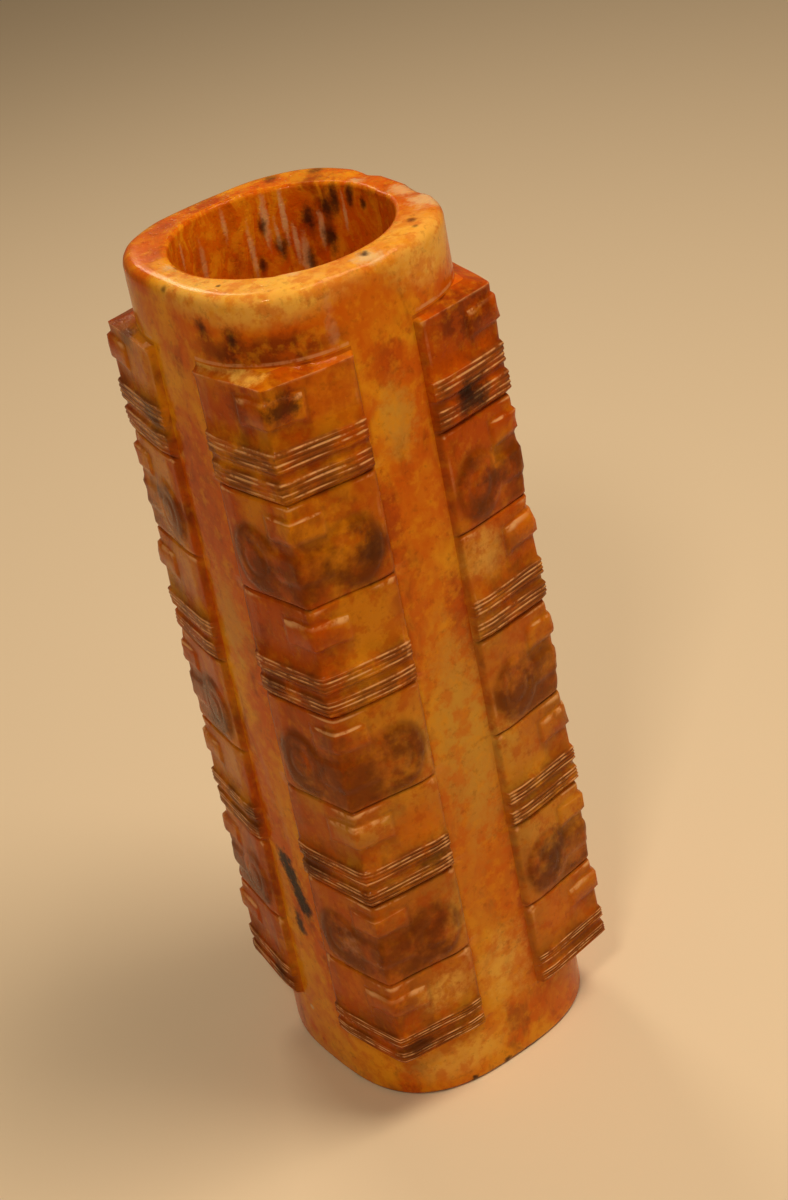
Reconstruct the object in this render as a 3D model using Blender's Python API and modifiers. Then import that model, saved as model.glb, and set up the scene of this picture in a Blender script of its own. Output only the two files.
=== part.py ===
"""Jade cong: a square-cornered stone tube with a round bore and seven carved registers on each corner.

Metres, +Z up. The origin is the centre of the foot. The stone is drawn straight, as it stands at the foot,
and drawn in towards the rim by taper(), apart from the bore, which is drilled with its own radii.
"""

from math import cos, hypot, pi, radians, sin
from typing import NamedTuple

import bmesh
import bpy
from mathutils import Matrix, Vector


class Register(NamedTuple):
    """One storey of carving: its height, and the height of the bands at its foot (none on an animal mask)."""

    height: float
    bands: float = 0.0


# Heights
FOOT_COLLAR_HEIGHT = 0.0165
BLOCK_HEIGHT = 0.1780
RIM_COLLAR_HEIGHT = 0.0155

# The registers from the foot up, in parts that share out the blocks' height
REGISTER_PARTS = (
    Register(height=24.2, bands=8.0),
    Register(height=23.5),
    Register(height=26.1, bands=9.8),
    Register(height=24.9),
    Register(height=27.3, bands=10.4),
    Register(height=24.8),
    Register(height=27.2, bands=11.7),
)

# Plan, measured at the foot
COLLAR_HALF_WIDTH = 0.0332
COLLAR_SQUARENESS = 2.8
CHANNEL_HALF_WIDTH = 0.0085
CHANNEL_DEPTH = 0.00175
FACE_FALL = 0.0034
CORNER_FLAT = 0.0009
TAPER = 0.070

# Bore
BORE_FOOT_RADIUS = 0.0248
BORE_WAIST_RADIUS = 0.0220
BORE_RIM_RADIUS = 0.0236
WAIST_HEIGHT = 0.100

# Worn edges
RIM_ROUND = 0.0024
FOOT_ROUND = 0.0012
BORE_ROUND = 0.0010
LEDGE_RUN = 0.0045
LEDGE_DROP = 0.0014
SILL_RUN = 0.0040
SILL_RISE = 0.0010

# Depth of the carving on each corner block
GROOVE_DEPTH = 0.0009
GROOVE_WIDTH = 0.0010
BAND_RELIEF = 0.0008
BAND_GAP = 0.0019
BAND_FOOT = 0.0004
RIDGES_IN_BAND = 4
RIDGE_DEPTH = 0.00035
NOSE_RELIEF = 0.0008
BRIDGE_RELIEF = 0.0006
EYE_RELIEF = 0.0007
PUPIL_RELIEF = 0.0004

# Layout of the masks, as shares of the face's length along it and of the register's height up it
HUMAN_NOSE_REACH = 0.40
ANIMAL_NOSE_REACH = 0.35
NOSE_LOW = 0.63
NOSE_HIGH = 0.87
BRIDGE_REACH = 0.38
BRIDGE_HEIGHT = 0.31
EYE_INSET = 0.59
EYE_MIDDLE = 0.37
EYE_HALF_WIDTH = 0.283
EYE_HALF_HEIGHT = 0.325
PUPIL_SHARE = 0.45

# How the solids are joined and faceted
ROOT = 0.008
SINK = 0.0005
BACKING = 0.0020
CUT_MARGIN = 0.002
COLLAR_SIDES = 64
BORE_SIDES = 48
EYE_SIDES = 18
PUPIL_SIDES = 10
ROUND_STEPS = 3
SAME_HEIGHT = 0.000001

JADE_COLOUR = (0.42, 0.17, 0.025, 1.0)
JADE_ROUGHNESS = 0.32

# Worked out from the sizes above
BLOCK_FOOT = FOOT_COLLAR_HEIGHT
BLOCK_TOP = FOOT_COLLAR_HEIGHT + BLOCK_HEIGHT
HEIGHT = BLOCK_TOP + RIM_COLLAR_HEIGHT
FACE_END = COLLAR_HALF_WIDTH + CHANNEL_DEPTH
CORNER = FACE_END - FACE_FALL
FACE_LENGTH = hypot(CORNER - CHANNEL_HALF_WIDTH, FACE_FALL)
FACE_NORMAL = Vector((FACE_FALL, CORNER - CHANNEL_HALF_WIDTH)) / FACE_LENGTH
FACE_INWARD = Vector((-FACE_NORMAL.y, FACE_NORMAL.x))
RIM_WALL = COLLAR_HALF_WIDTH * (1 - TAPER) - BORE_RIM_RADIUS
FOOT_WALL = COLLAR_HALF_WIDTH - BORE_FOOT_RADIUS
RIM_EDGE = min(RIM_ROUND, RIM_WALL * 0.4)
FOOT_EDGE = min(FOOT_ROUND, FOOT_WALL * 0.4)
BORE_EDGE = min(BORE_ROUND, RIM_WALL * 0.2, FOOT_WALL * 0.2)
PART = BLOCK_HEIGHT / sum(register.height for register in REGISTER_PARTS)
REGISTERS = [Register(register.height * PART, register.bands * PART) for register in REGISTER_PARTS]


def clear_scene():
    """Empty the scene that the script opens in."""
    for obj in list(bpy.data.objects):
        bpy.data.objects.remove(obj, do_unlink=True)


def new_collection(name):
    """A collection in the scene."""
    collection = bpy.data.collections.new(name)
    bpy.context.scene.collection.children.link(collection)
    return collection


def jade():
    """Waxy amber-brown stone."""
    material = bpy.data.materials.new("amber_jade")
    material.use_nodes = True
    shader = material.node_tree.nodes["Principled BSDF"]
    shader.inputs["Base Color"].default_value = JADE_COLOUR
    shader.inputs["Roughness"].default_value = JADE_ROUGHNESS
    shader.inputs["Metallic"].default_value = 0.0
    return material


def to_object(bm, name, collection):
    """An object made of a finished bmesh, with its faces pointing out."""
    bmesh.ops.recalc_face_normals(bm, faces=bm.faces)
    mesh = bpy.data.meshes.new(name)
    bm.to_mesh(mesh)
    bm.free()
    obj = bpy.data.objects.new(name, mesh)
    collection.objects.link(obj)
    return obj


def as_tool(obj):
    """Mark an object that only shapes another one."""
    obj.hide_render = True
    obj.display_type = "WIRE"
    return obj


def boolean(target, operation, tool):
    """Join a tool to the target, or cut the target with it. The tool is an object or a whole collection."""
    modifier = target.modifiers.new(tool.name, "BOOLEAN")
    modifier.operation = operation
    modifier.solver = "EXACT"
    if isinstance(tool, bpy.types.Collection):
        modifier.operand_type = "COLLECTION"
        modifier.collection = tool
    else:
        modifier.object = tool


def evaluated_mesh(obj, name):
    """A new mesh of an object with its modifiers applied."""
    graph = bpy.context.evaluated_depsgraph_get()
    mesh = bpy.data.meshes.new_from_object(obj.evaluated_get(graph))
    mesh.name = name
    return mesh


def taper(mesh):
    """Draw the straight stone in towards the rim."""
    for vertex in mesh.vertices:
        share = 1 - TAPER * vertex.co.z / HEIGHT
        vertex.co.x *= share
        vertex.co.y *= share


def loft(rings, name, collection):
    """A closed solid through rings of points that all have the same number of points, from foot to top."""
    bm = bmesh.new()
    loops = [[bm.verts.new(point) for point in ring] for ring in rings]
    bm.faces.new(loops[0])
    bm.faces.new(loops[-1])
    for lower, upper in zip(loops, loops[1:]):
        for here in range(len(lower)):
            after = (here + 1) % len(lower)
            bm.faces.new((lower[here], lower[after], upper[after], upper[here]))
    return as_tool(to_object(bm, name, collection))


def mirrored(point):
    """The same point on the corner's other face."""
    return Vector((point.y, point.x))


def face_point(inset, relief):
    """A plan point on the face that runs from the +Y channel to the corner, inset from the corner."""
    return Vector((CORNER, CORNER)) + FACE_INWARD * inset + FACE_NORMAL * relief


def corner_point(relief):
    """Where the two faces of a corner meet, both raised by the same relief."""
    reach = CORNER + relief / (FACE_NORMAL.x + FACE_NORMAL.y)
    return Vector((reach, reach))


def channel_point(relief):
    """The face's end at the channel's side wall."""
    return Vector((CHANNEL_HALF_WIDTH, FACE_END + relief / FACE_NORMAL.y))


def block_ring(z, relief):
    """The corner block's outline at one height, with its faces raised or sunk by the relief."""
    root = Vector((CHANNEL_HALF_WIDTH, COLLAR_HALF_WIDTH - ROOT))
    near = corner_point(relief) + FACE_INWARD * CORNER_FLAT
    side = (near, channel_point(relief), root)
    other = [mirrored(point) for point in reversed(side)]
    return [(point.x, point.y, z) for point in (*other, *side)]


def ridged_band(low, high):
    """One raised band of fine ridges, as (height, relief) pairs from its lower edge to its upper edge."""
    pitch = (high - low) / RIDGES_IN_BAND
    profile = [(low, 0.0)]
    for ridge in range(RIDGES_IN_BAND):
        if ridge:
            profile.append((low + pitch * ridge, BAND_RELIEF - RIDGE_DEPTH))
        profile.append((low + pitch * (ridge + 0.5), BAND_RELIEF))
    profile.append((high, 0.0))
    return profile


def band_pair(low, height):
    """The two bands of a human mask, or nothing where the register has none."""
    if not height:
        return []
    each = (height - BAND_FOOT - BAND_GAP) / 2
    lower = low + BAND_FOOT
    upper = lower + each + BAND_GAP
    return ridged_band(lower, lower + each) + ridged_band(upper, upper + each)


def groove(z):
    """The groove that parts two registers."""
    half = GROOVE_WIDTH / 2
    return [(z - half, 0.0), (z, -GROOVE_DEPTH), (z + half, 0.0)]


def block_profile():
    """The whole block's side from its sill to its ledge, as (height, relief) pairs."""
    profile = [(BLOCK_FOOT, -SILL_RUN), (BLOCK_FOOT + SILL_RISE, 0.0)]
    low = BLOCK_FOOT + SILL_RISE
    foot = BLOCK_FOOT
    for register in REGISTERS[:-1]:
        foot += register.height
        profile += band_pair(low, register.bands) + groove(foot)
        low = foot + GROOVE_WIDTH / 2
    profile += band_pair(low, REGISTERS[-1].bands)
    return profile + [(BLOCK_TOP - LEDGE_DROP, 0.0), (BLOCK_TOP, -LEDGE_RUN)]


def wrapped_bar(low, high, reach, relief, name, collection):
    """A raised bar with sloping edges that wraps the corner and reaches along both faces."""
    rings = []
    for z, rise in ((low - SINK, -SINK), (low + relief, relief), (high - relief, relief), (high + SINK, -SINK)):
        end = face_point(reach - rise, rise)
        near = corner_point(rise) + FACE_INWARD * CORNER_FLAT
        back = face_point(reach - rise, -BACKING)
        outline = (mirrored(end), mirrored(near), near, end, back, corner_point(-BACKING), mirrored(back))
        rings.append([(point.x, point.y, z) for point in outline])
    return loft(rings, name, collection)


def oval_boss(z, half_width, half_height, relief, sides, name, collection):
    """A raised oval with a sloping edge, at the eye's place on the face towards the +Y channel."""
    bm = bmesh.new()
    bmesh.ops.create_cone(
        bm, cap_ends=True, segments=sides,
        radius1=1.0, radius2=1.0 - relief / half_width, depth=relief + SINK,
    )
    centre = face_point(EYE_INSET * FACE_LENGTH, (relief - SINK) / 2)
    place = Matrix((
        (FACE_INWARD.x * half_width, 0.0, FACE_NORMAL.x, centre.x),
        (FACE_INWARD.y * half_width, 0.0, FACE_NORMAL.y, centre.y),
        (0.0, half_height, 0.0, z),
        (0.0, 0.0, 0.0, 1.0),
    ))
    bmesh.ops.transform(bm, matrix=place, verts=bm.verts)
    return as_tool(to_object(bm, name, collection))


def copy_to_other_face(obj, collection):
    """A mirror image of a boss, on the corner's other face."""
    bm = bmesh.new()
    bm.from_mesh(obj.data)
    for vertex in bm.verts:
        vertex.co.x, vertex.co.y = vertex.co.y, vertex.co.x
    return as_tool(to_object(bm, obj.name + "_mirrored", collection))


def carve_nose(foot, register, name, raised):
    """The nose bar of either mask, near the top of its register."""
    reach = (HUMAN_NOSE_REACH if register.bands else ANIMAL_NOSE_REACH) * FACE_LENGTH
    low = foot + NOSE_LOW * register.height
    high = foot + NOSE_HIGH * register.height
    wrapped_bar(low, high, reach, NOSE_RELIEF, name, raised)


def carve_eyes(foot, register, name, raised):
    """An animal mask's two eyes with their pupils, and the bridge between them."""
    middle = foot + EYE_MIDDLE * register.height
    half_bridge = BRIDGE_HEIGHT * register.height / 2
    wrapped_bar(
        middle - half_bridge, middle + half_bridge, BRIDGE_REACH * FACE_LENGTH,
        BRIDGE_RELIEF, name + "_bridge", raised,
    )
    half_width = EYE_HALF_WIDTH * FACE_LENGTH
    half_height = EYE_HALF_HEIGHT * register.height
    eye = oval_boss(middle, half_width, half_height, EYE_RELIEF, EYE_SIDES, name + "_eye", raised)
    pupil = oval_boss(
        middle, half_width * PUPIL_SHARE, half_height * PUPIL_SHARE,
        EYE_RELIEF + PUPIL_RELIEF, PUPIL_SIDES, name + "_pupil", raised,
    )
    copy_to_other_face(eye, raised)
    copy_to_other_face(pupil, raised)


def corner_block_mesh(tools):
    """The carved block of one corner, in one closed mesh."""
    block = loft([block_ring(z, relief) for z, relief in block_profile()], "block", tools)
    raised = new_collection("raised_carving")
    foot = BLOCK_FOOT
    for number, register in enumerate(REGISTERS, start=1):
        carve_nose(foot, register, f"nose_{number}", raised)
        if not register.bands:
            carve_eyes(foot, register, f"animal_{number}", raised)
        foot += register.height
    boolean(block, "UNION", raised)
    mesh = evaluated_mesh(block, "corner_block")
    taper(mesh)
    for obj in [*raised.objects, block]:
        bpy.data.objects.remove(obj, do_unlink=True)
    bpy.data.collections.remove(raised)
    return mesh


def rounded_square(half_width, angle):
    """A point of a square outline with full round corners."""
    across = abs(cos(angle)) ** COLLAR_SQUARENESS + abs(sin(angle)) ** COLLAR_SQUARENESS
    radius = half_width / across ** (1 / COLLAR_SQUARENESS)
    return radius * cos(angle), radius * sin(angle)


def level_edges(bm, z):
    """The edges that lie at one height."""
    return [edge for edge in bm.edges if all(abs(vertex.co.z - z) < SAME_HEIGHT for vertex in edge.verts)]


def collar_core(collection):
    """The tube's outer form from foot to rim, still solid, with worn outer edges."""
    bm = bmesh.new()
    bmesh.ops.create_circle(bm, cap_ends=True, segments=COLLAR_SIDES, radius=1.0)
    for number, vertex in enumerate(bm.verts):
        x, y = rounded_square(COLLAR_HALF_WIDTH, 2 * pi * number / COLLAR_SIDES)
        vertex.co = (x, y, 0.0)
    grown = bmesh.ops.extrude_face_region(bm, geom=bm.faces[:])["geom"]
    top = [item for item in grown if isinstance(item, bmesh.types.BMVert)]
    bmesh.ops.translate(bm, vec=(0, 0, HEIGHT), verts=top)
    for z, width in ((0.0, FOOT_EDGE), (HEIGHT, RIM_EDGE)):
        bmesh.ops.bevel(
            bm, geom=level_edges(bm, z), offset=width, offset_type="OFFSET",
            segments=ROUND_STEPS, profile=0.5, affect="EDGES",
        )
    core = to_object(bm, "jade_cong", collection)
    taper(core.data)
    return core


def mouth(radius, z, outward):
    """The bore's worn mouth: a quarter round that opens by BORE_EDGE at one end of the stone."""
    points = []
    for step in range(ROUND_STEPS + 1):
        turn = 0.5 * pi * step / ROUND_STEPS
        points.append((radius + BORE_EDGE * (1 - cos(turn)), z - outward * BORE_EDGE * (1 - sin(turn))))
    return points


def bore_cutter(collection):
    """The bore, drilled from both ends to a waist, as a turned solid that runs past both ends."""
    rim = mouth(BORE_RIM_RADIUS, HEIGHT, 1)
    foot = mouth(BORE_FOOT_RADIUS, 0.0, -1)
    top, bottom = HEIGHT + CUT_MARGIN, -CUT_MARGIN
    outline = [(0.0, top), (rim[-1][0], top), *reversed(rim)]
    outline += [(BORE_WAIST_RADIUS, WAIST_HEIGHT), *foot, (foot[-1][0], bottom), (0.0, bottom)]
    mesh = bpy.data.meshes.new("bore")
    edges = [(point, point + 1) for point in range(len(outline) - 1)]
    mesh.from_pydata([(radius, 0.0, z) for radius, z in outline], edges, [])
    bore = bpy.data.objects.new("bore", mesh)
    collection.objects.link(bore)
    screw = bore.modifiers.new("turn", "SCREW")
    screw.axis = "Z"
    screw.angle = 2 * pi
    screw.steps = BORE_SIDES
    screw.render_steps = BORE_SIDES
    screw.use_merge_vertices = True
    screw.merge_threshold = 0.00001
    return as_tool(bore)


def build():
    """The whole stone."""
    clear_scene()
    parts = new_collection("jade_cong")
    tools = new_collection("cutters")
    block_mesh = corner_block_mesh(tools)
    cong = collar_core(parts)
    for corner in range(4):
        block = bpy.data.objects.new(f"corner_{corner + 1}", block_mesh)
        block.rotation_euler.z = radians(90 * corner)
        tools.objects.link(as_tool(block))
        boolean(cong, "UNION", block)
    boolean(cong, "DIFFERENCE", bore_cutter(tools))
    cong.data.materials.append(jade())
    cong.data.shade_smooth()
    cong.data.set_sharp_from_angle(angle=radians(20))


build()
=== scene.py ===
"""A tall jade cong: its fine carving, wear, stain and amber jade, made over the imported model."""

import logging
import math
from dataclasses import dataclass, field
from enum import Enum
from typing import Any

import bpy
import numpy as np
from mathutils import Matrix, Vector, noise


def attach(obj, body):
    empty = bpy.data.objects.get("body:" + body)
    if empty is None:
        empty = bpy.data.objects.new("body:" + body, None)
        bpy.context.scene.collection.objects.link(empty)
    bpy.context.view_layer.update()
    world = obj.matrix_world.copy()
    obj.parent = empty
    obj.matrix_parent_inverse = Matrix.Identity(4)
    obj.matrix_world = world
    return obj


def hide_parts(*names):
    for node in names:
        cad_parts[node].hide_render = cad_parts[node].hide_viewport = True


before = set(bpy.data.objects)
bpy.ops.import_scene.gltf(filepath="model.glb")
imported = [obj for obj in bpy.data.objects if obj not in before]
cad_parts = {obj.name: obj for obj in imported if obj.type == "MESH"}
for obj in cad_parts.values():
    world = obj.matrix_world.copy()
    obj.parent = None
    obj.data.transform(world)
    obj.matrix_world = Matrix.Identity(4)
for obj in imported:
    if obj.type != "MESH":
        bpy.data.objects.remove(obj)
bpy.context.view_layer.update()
LOG = logging.getLogger("cong")
MM = 0.001
Triple = tuple[float, float, float]
Shade = tuple[float, float, float, float]


class Carving(Enum):
    """What a register of the corner blocks shows."""

    MASK = "nose bar over two ridged bands"
    BEAST = "nose bar over two oval eyes joined by a bridge"


class Zone(Enum):
    """The three finishes of the stone, by their place in its material slots."""

    POLISHED = 0
    CARVED = 1
    BORED = 2


class Mark(Enum):
    """What the carver's hand and the ground left on the surface, with painted shade and painted highlights
    among them, kept as a value at each point.
    """

    # The stain mark holds soil stain in the carving, plus painted shade on the channel walls and a darkening
    # towards the underside of the foot.
    STAIN = "stain"
    BAND = "band"
    EYE = "eye"
    # The wear mark holds pale worn crests and painted highlights: glints on ridges, lips and edges, and a
    # painted reflection at the collar's base.
    WEAR = "wear"


def ease(value: Any, low: float, high: float) -> Any:
    """A smooth step.

    Args:
        value: a number or an array.
        low: where the step starts.
        high: where it ends.

    Returns:
        0 before low, 1 after high, and a smooth rise between them.
    """
    share = np.clip((value - low) / (high - low), 0.0, 1.0)
    return share * share * (3.0 - 2.0 * share)


def hill(value: Any, middle: float, width: float) -> Any:
    """A bell of height 1 round a middle, down to 0.37 at width from it."""
    return np.exp(-(((value - middle) / width) ** 2))


def grain(points: np.ndarray, size: float, seed: float) -> np.ndarray:
    """Perlin noise at each point.

    Args:
        points: rows of x, y, z in metres.
        size: how large the noise's features are, in metres.
        seed: an offset that gives each use its own noise.

    Returns:
        One value a point, about -1 to 1.
    """
    shift = Vector((seed, 2.0 * seed, 3.0 * seed))
    return np.array([noise.noise(Vector(point) / size + shift) for point in points])


def shade(red: float, green: float, blue: float) -> Shade:
    """A linear colour from display values of 0 to 255."""
    linear = [((value / 255 + 0.055) / 1.055) ** 2.4 for value in (red, green, blue)]
    return (linear[0], linear[1], linear[2], 1.0)


@dataclass(frozen=True)
class Register:
    """One storey of the corner blocks."""

    height: float
    bands: float = 0.0

    @property
    def carving(self) -> Carving:
        """A register with bands is a mask, and one without is a beast."""
        return Carving.MASK if self.bands else Carving.BEAST


@dataclass
class Level:
    """One level of a block's face while it is carved.

    It keeps its register and the height of that one's foot, how far each column lies from the corner, s, the
    level's height, z, and its relief and marks, one value a column.
    """

    register: Register
    foot: float
    s: np.ndarray
    z: float
    relief: np.ndarray
    marks: dict[Mark, np.ndarray]


@dataclass
class CornerCarving:
    """The registers of a corner block, foot to top, and the relief that is cut into its two faces."""

    foot: float
    face_length: float
    registers: tuple[Register, ...] = (
        Register(0.0242, 0.0080),
        Register(0.0235),
        Register(0.0261, 0.0098),
        Register(0.0249),
        Register(0.0273, 0.0104),
        Register(0.0248),
        Register(0.0272, 0.0117),
    )
    groove_depth: float = 0.00048
    groove_half: float = 0.0005
    groove_steps: tuple[float, ...] = (-1.6, -0.9, 0.0, 0.9, 1.6)
    slump_depth: float = 0.00015
    slump_reach: float = 0.0014
    band_foot: float = 0.0004
    band_over_sill: float = 0.0010
    band_over_groove: float = 0.0005
    band_gap: float = 0.0019
    band_relief: float = 0.0007
    band_edge: float = 0.0003
    ridges: int = 4
    ridge_steps: tuple[float, ...] = (0.0, 0.38, 0.70)
    ridge_depth: float = 0.00024
    nose_relief: float = 0.0008
    nose_fade: float = 0.40
    nose_reach: dict[Carving, float] = field(
        default_factory=lambda: {Carving.MASK: 0.40, Carving.BEAST: 0.35})
    nose_low: float = 0.63
    nose_high: float = 0.87
    nose_droop: float = 0.0004
    bridge_reach: float = 0.38
    bridge_height: float = 0.31
    bridge_relief: float = 0.00045
    eye_inset: float = 0.60
    eye_middle: float = 0.37
    eye_half_width: float = 0.305
    eye_half_height: float = 0.325
    eye_relief: float = 0.0005
    pupil_share: float = 0.45
    pupil_relief: float = 0.00018
    ring_depth: float = 0.00010
    ring_share: float = 0.78
    edge: float = 0.0008
    edge_steps: tuple[float, ...] = (-0.8, 0.0, 0.5, 1.0)
    soft_edge: float = 0.0013
    fine_step: float = 0.0007
    fine_margin: float = 1.3
    end_wear: float = 0.00050
    end_wear_start: float = 0.0055
    end_wear_full: float = 0.001
    end_glint: float = 0.0018

    def storeys(self) -> list[tuple[Register, float]]:
        """Each register with the height of its foot."""
        feet = self.foot + np.cumsum([0.0] + [register.height for register in self.registers[:-1]])
        return list(zip(self.registers, feet))

    def band_spans(self, register: Register, foot: float) -> list[tuple[float, float]]:
        """Where the two ridged bands of a mask register lie.

        Args:
            register: the mask register.
            foot: the height of its foot.

        Returns:
            The lowest and the highest line of each band, the lower band first.
        """
        low = foot + self.band_foot + (self.band_over_sill if foot == self.foot else self.band_over_groove)
        tall = (register.bands - self.band_foot - self.band_gap) / 2
        upper = low + tall + self.band_gap
        return [(low, low + tall), (upper, upper + tall)]

    def levels(self) -> list[tuple[float, int]]:
        """The rings that the carving needs.

        Returns:
            Pairs of a height and a column step: 1 for every column, 2 for every second one.
        """
        found = []
        for register, foot in self.storeys():
            top = foot + register.height
            if foot > self.foot:
                found += [(foot + share * self.groove_half, 2) for share in self.groove_steps]
            if register.carving is Carving.MASK:
                for low, high in self.band_spans(register, foot):
                    pitch = (high - low) / self.ridges
                    found += [(low - self.band_edge, 2), (high + self.band_edge, 2)]
                    found += [(low + pitch * (ridge + share), 2) for ridge in range(self.ridges)
                              for share in self.ridge_steps]
                    found.append((high, 2))
                low, high = (foot + share * register.height for share in (self.nose_low, self.nose_high))
                found += [(low + step * self.edge, 1) for step in self.edge_steps]
                found += [(high - step * self.edge, 1) for step in self.edge_steps]
                found.append(((low + high) / 2, 1))
            else:
                low, high = foot + self.fine_margin * self.edge, top - self.fine_margin * self.edge
                count = round((high - low) / self.fine_step)
                found += [(z, 1) for z in np.linspace(low, high, count + 1)]
        return sorted(found)

    def _raised_bar(self, s: np.ndarray, z: float, reach: float, low: float, high: float) -> np.ndarray:
        """How far inside a bar that wraps the corner a point lies, less than 0 outside it."""
        drooped = z + self.nose_droop * ease(s, 0.55 * reach, reach)
        return np.minimum(reach - s, np.minimum(high - drooped, drooped - low))

    def level(self, s: np.ndarray, z: float) -> Level:
        """Carves one level of a face.

        Args:
            s: distances from the corner along the face.
            z: the level's height.

        Returns:
            The level, with its relief measured out from the plain face.
        """
        marks = {mark: np.zeros_like(s) for mark in Mark}
        relief = np.zeros_like(s)
        started = (pair for pair in reversed(self.storeys()) if z >= pair[1] or pair[1] == self.foot)
        register, foot = next(started)
        top = foot + register.height
        ends = [line for line in (foot, top) if self.foot < line < self.storeys()[-1][1] + 0.001]
        for line in ends:
            gap = abs(z - line)
            relief -= self.groove_depth * max(0.0, 1.0 - gap / self.groove_half)
            relief -= self.slump_depth * (1.0 - ease(gap, 0.0, self.slump_reach))
            marks[Mark.STAIN] += 0.6 * math.exp(-((gap / 0.00040) ** 2))
            # Painted highlight: a broken pale line on the lip just below each groove.
            glint = 0.5 + 0.4 * np.sin(s * 260.0 + line * 500.0)
            marks[Mark.WEAR] += glint * float(hill(z - line, -0.0008, 0.0004))
        reach = self.nose_reach[register.carving] * self.face_length
        low, high = (foot + share * register.height for share in (self.nose_low, self.nose_high))
        inside = self._raised_bar(s, z, reach, low, high)
        relief += self.nose_relief * ease(inside, 0.0, self.edge) * (1 - self.nose_fade * ease(s, 0.0, reach))
        marks[Mark.STAIN] += 0.3 * hill(inside, -0.0003, 0.0005)
        # Painted highlight along the nose bar's top edge.
        glint = 0.85 + 0.25 * np.sin(s * 330.0 + foot * 700.0)
        marks[Mark.WEAR] += glint * hill(inside, 0.0006, 0.00035) * ease(z, high - 0.0018, high - 0.0008)
        level = Level(register, foot, s, z, relief, marks)
        if register.carving is Carving.MASK:
            self._add_bands(level)
        else:
            self._add_eye(level)
        end = self.face_length
        relief -= self.end_wear * ease(s, end - self.end_wear_start, end - self.end_wear_full)
        # Painted highlight: a pale line along the face's edge by the channel.
        faded = 0.5 + 0.5 * math.sin(z * 210.0)
        marks[Mark.WEAR] += 0.55 * faded * hill(s, end - self.end_glint, 0.0008)
        return level

    def _add_bands(self, level: Level) -> None:
        """Adds the two bands of fine ridges at a mask register's foot.

        Args:
            level: the level, whose relief and marks are added to.
        """
        foot, s, z, relief, marks = level.foot, level.s, level.z, level.relief, level.marks
        for low, high in self.band_spans(level.register, foot):
            inside = min(z - low, high - z)
            if inside < -self.band_edge - 0.0001:
                continue
            share = (z - low) / (high - low) * self.ridges
            valley = 0.5 + 0.5 * math.cos(2.0 * math.pi * share)
            height = ease(inside, -self.band_edge, 0.0001)
            relief += height * (self.band_relief - self.ridge_depth * valley)
            marks[Mark.BAND] += height
            ridge = math.floor(share)
            # Painted highlight on the upper side of each ridge, a little brighter on each higher ridge; the
            # darker valleys are soil stain.
            glint = 0.62 + 0.38 * np.sin(s * 290.0 + ridge * 2.3 + foot * 900.0) + 0.10 * ridge
            marks[Mark.STAIN] += 0.50 * valley * height + 0.4 * (1.0 - height)
            marks[Mark.WEAR] += glint * float(hill(share % 1.0, 0.68, 0.27)) * height

    def _add_eye(self, level: Level) -> None:
        """Adds a beast register's oval eye with its ring and pupil, and the bridge to the next eye.

        Args:
            level: the level, whose relief and marks are added to.
        """
        foot, s, z, relief, marks = level.foot, level.s, level.z, level.relief, level.marks
        storey = level.register.height
        middle = foot + self.eye_middle * storey
        half_wide = self.eye_half_width * self.face_length
        half_tall = self.eye_half_height * storey
        across = (s - self.eye_inset * self.face_length) / half_wide
        out = np.hypot(across, (z - middle) / half_tall)
        inside = (1.0 - out) * half_wide
        tall = self.bridge_height * storey / 2
        bar = np.minimum(self.bridge_reach * self.face_length - s, tall - abs(z - middle))
        relief += np.maximum(self.eye_relief * ease(inside, 0.0, self.soft_edge),
                             self.bridge_relief * ease(bar, 0.0, self.soft_edge))
        relief += self.pupil_relief * ease(self.pupil_share - out, 0.0, 0.12)
        pupil_edge = self.pupil_share + 0.05
        relief -= self.ring_depth * (hill(out, self.ring_share, 0.06) + hill(out, pupil_edge, 0.05))
        between_eyes = ease(self.eye_inset * self.face_length - s, 0.0, 0.002)
        between_eyes = between_eyes * ease(z, foot, foot + 0.0015)
        between_eyes = between_eyes * (1 - ease(z, middle + tall, middle + 2 * tall))
        marks[Mark.EYE] += np.maximum(ease(1.22 - out, 0.0, 0.36), 0.9 * between_eyes)
        marks[Mark.STAIN] += 0.15 * hill(inside, -0.0003, 0.0007) + 0.12 * hill(out, self.ring_share, 0.06)
        marks[Mark.STAIN] += 0.15 * hill(out, pupil_edge, 0.06)
        # Painted highlight on the upper half of the eye's rim.
        marks[Mark.WEAR] += 0.4 * hill(inside, 0.0008, 0.0004) * ease(z, middle, middle + half_tall)


@dataclass(frozen=True)
class Chip:
    """A flake lost from an edge: its place, its size and how deep it goes."""

    place: Triple
    size: float
    depth: float


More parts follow.
